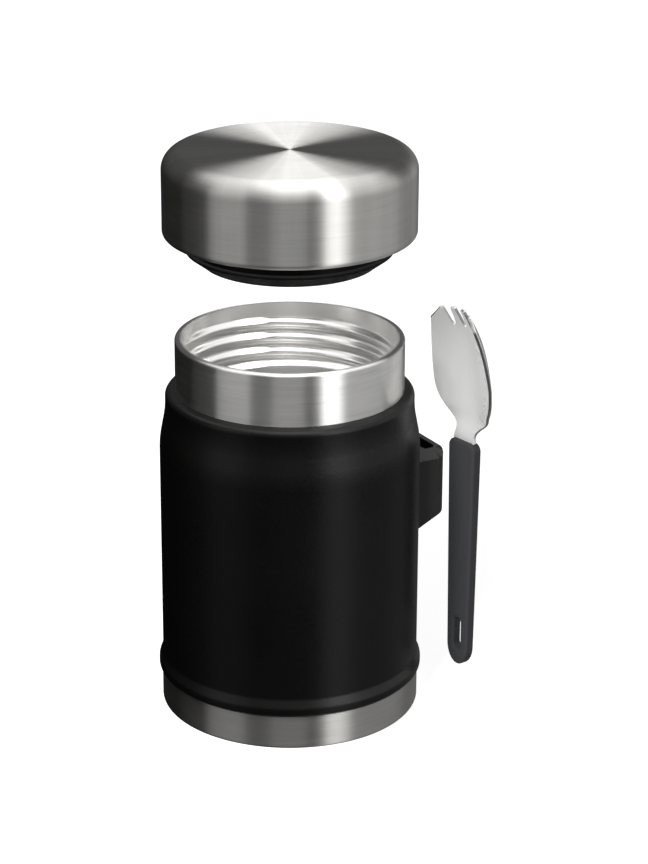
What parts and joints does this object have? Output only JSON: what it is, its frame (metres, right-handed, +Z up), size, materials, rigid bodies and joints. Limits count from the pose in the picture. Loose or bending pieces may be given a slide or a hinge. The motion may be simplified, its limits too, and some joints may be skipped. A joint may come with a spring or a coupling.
{
  "type": "insulated food jar",
  "caption": "Black vacuum food jar with bare steel neck and base, a screw-on steel lid lifted off, and a spork beside its side sleeve.",
  "frame": {"origin": "centre of the foot, on the surface that the jar stands on", "axes": "+Z up along the jar's axis, +X towards the spork sleeve"},
  "size_m": [0.1057, 0.0944, 0.2031],
  "materials": {
    "powder_coat": "matt black powder coat with a fine grain",
    "brushed_steel": "brushed round the axis",
    "lid_steel": "brushed round the side, spun on the crown",
    "liner_steel": "satin, brushed round the bore",
    "plain_steel": "plain mill finish",
    "foil": "bright foil",
    "sealing_glass": "fused glass bead",
    "getter_metal": "pressed powder",
    "sleeve_plastic": "fine moulded grain",
    "plug_plastic": "moulded, satin",
    "handle_plastic": "moulded, satin",
    "seal_rubber": "silicone ring",
    "foam": "closed foam",
    "spork_steel": "polished pressed steel"
  },
  "bodies": {
    "jar": {"body_shell": "powder_coat", "neck_band": "brushed_steel", "base_cup": "brushed_steel", "inner_liner": "liner_steel", "liner_foil": "foil", "vacuum_floor": "plain_steel", "vacuum_seal": "sealing_glass", "getter": "getter_metal", "getter_clip": "plain_steel", "sleeve_bracket": "plain_steel", "sleeve_screws": "plain_steel", "spork_sleeve": "sleeve_plastic"},
    "lid_ring": {"lid_seal": "seal_rubber"},
    "lid": {"lid_shell": "lid_steel", "lid_plug": "plug_plastic", "lid_core": "foam", "lid_cover": "plug_plastic"},
    "spork": {"spork_head": "spork_steel", "spork_handle": "handle_plastic"}
  },
  "joints": [
    {"name": "lid_lift", "type": "slide", "parent": "jar", "child": "lid_ring", "axis": [0, 0, 1], "range_m": [-0.0555, 0]},
    {"name": "lid_turn", "type": "hinge", "parent": "lid_ring", "child": "lid", "pos_m": [0, 0, 0.164], "axis": [0, 0, 1], "range_deg": [-3600, 0]},
    {"name": "spork_lift", "type": "slide", "parent": "jar", "child": "spork", "axis": [0, 0, 1], "range_m": [0, 0.1]}
  ],
  "couplings": [
    {"joint": "lid_turn", "follows": "lid_lift", "rad_per_m": 1132.1}
  ]
}
